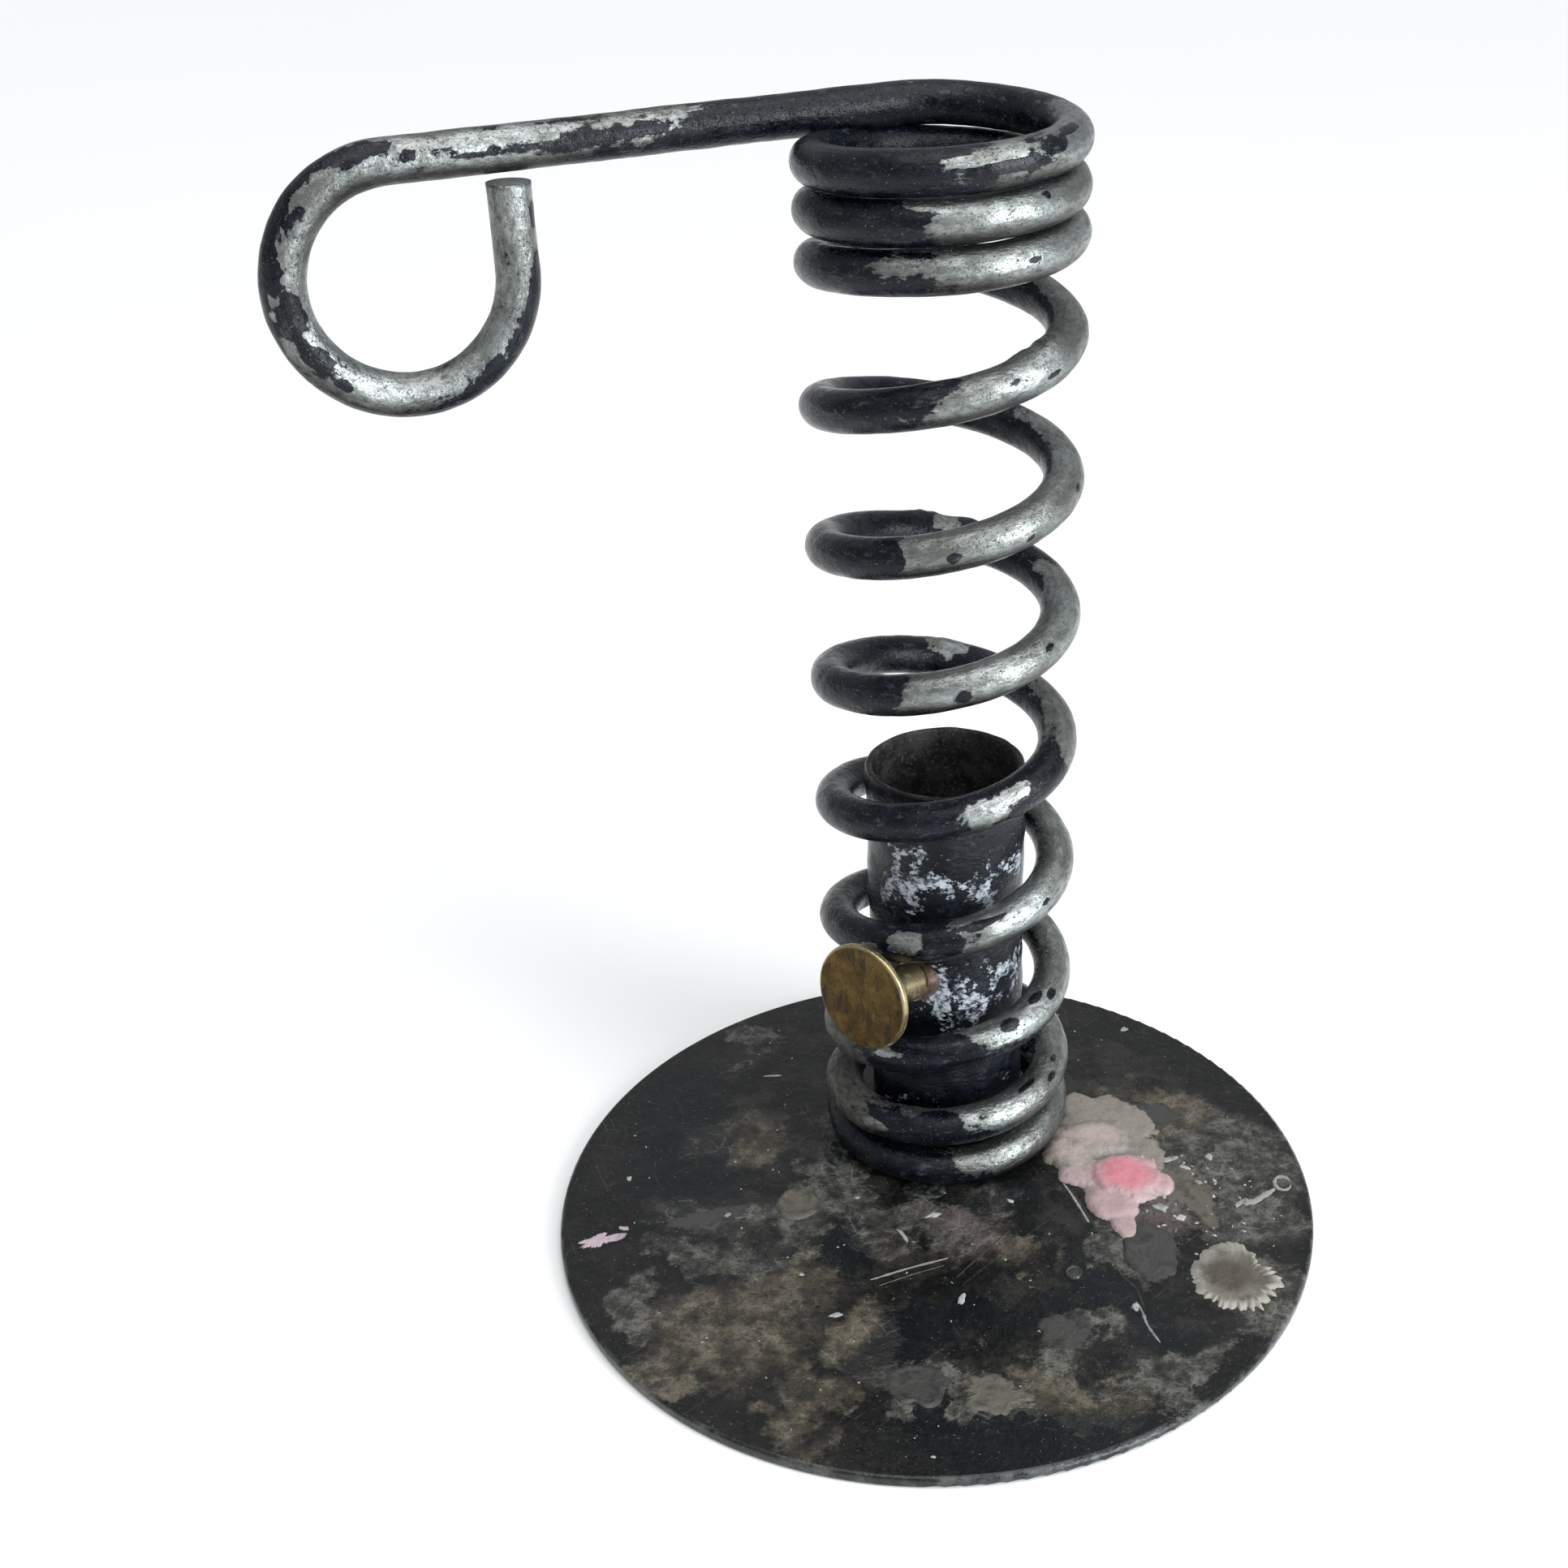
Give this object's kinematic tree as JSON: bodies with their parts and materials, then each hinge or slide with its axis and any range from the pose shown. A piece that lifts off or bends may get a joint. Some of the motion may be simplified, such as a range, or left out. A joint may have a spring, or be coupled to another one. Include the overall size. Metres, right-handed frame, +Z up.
{
  "type": "spiral candlestick",
  "caption": "Iron rod coiled into a tall spring on a round plate, with a hooked arm, and a candle cup that a brass knob winds up and down inside the coil.",
  "frame": {"origin": "centre of the round plate's underside", "axes": "+Z up, along the coil; the arm and hook point towards -X; -Y is the side with the wider part of the plate and the knob"},
  "size_m": [0.1474, 0.1222, 0.1699],
  "materials": {
    "lacquered_plate": "gloss black lacquer with wax and rust stains",
    "worn_rod": "worn pewter grey with chipped blue-black paint",
    "weld": "dull",
    "sooty_cup": "sooty gloss black",
    "aged_brass": "aged, satin",
    "copper": "satin",
    "stud_steel": "dull"
  },
  "bodies": {
    "root": {"base_plate": "lacquered_plate", "spiral_rod": "worn_rod", "weld_bead_left": "weld", "weld_bead_front": "weld"},
    "floor": {"cup_floor": "sooty_cup"},
    "cup": {"candle_cup": "sooty_cup", "knob": "aged_brass", "knob_collar": "copper", "knob_stud": "stud_steel"}
  },
  "joints": [
    {"name": "cup_lift", "type": "slide", "parent": "root", "child": "floor", "axis": [0, 0, 1], "range_m": [-0.0035, 0.1026]},
    {"name": "knob_turn", "type": "hinge", "parent": "floor", "child": "cup", "pos_m": [0.002, 0.0195, 0.03905], "axis": [0, 0, 1], "range_deg": [-60, 1800]}
  ],
  "couplings": [
    {"joint": "cup_lift", "follows": "knob_turn", "m_per_rad": 0.0032627}
  ]
}
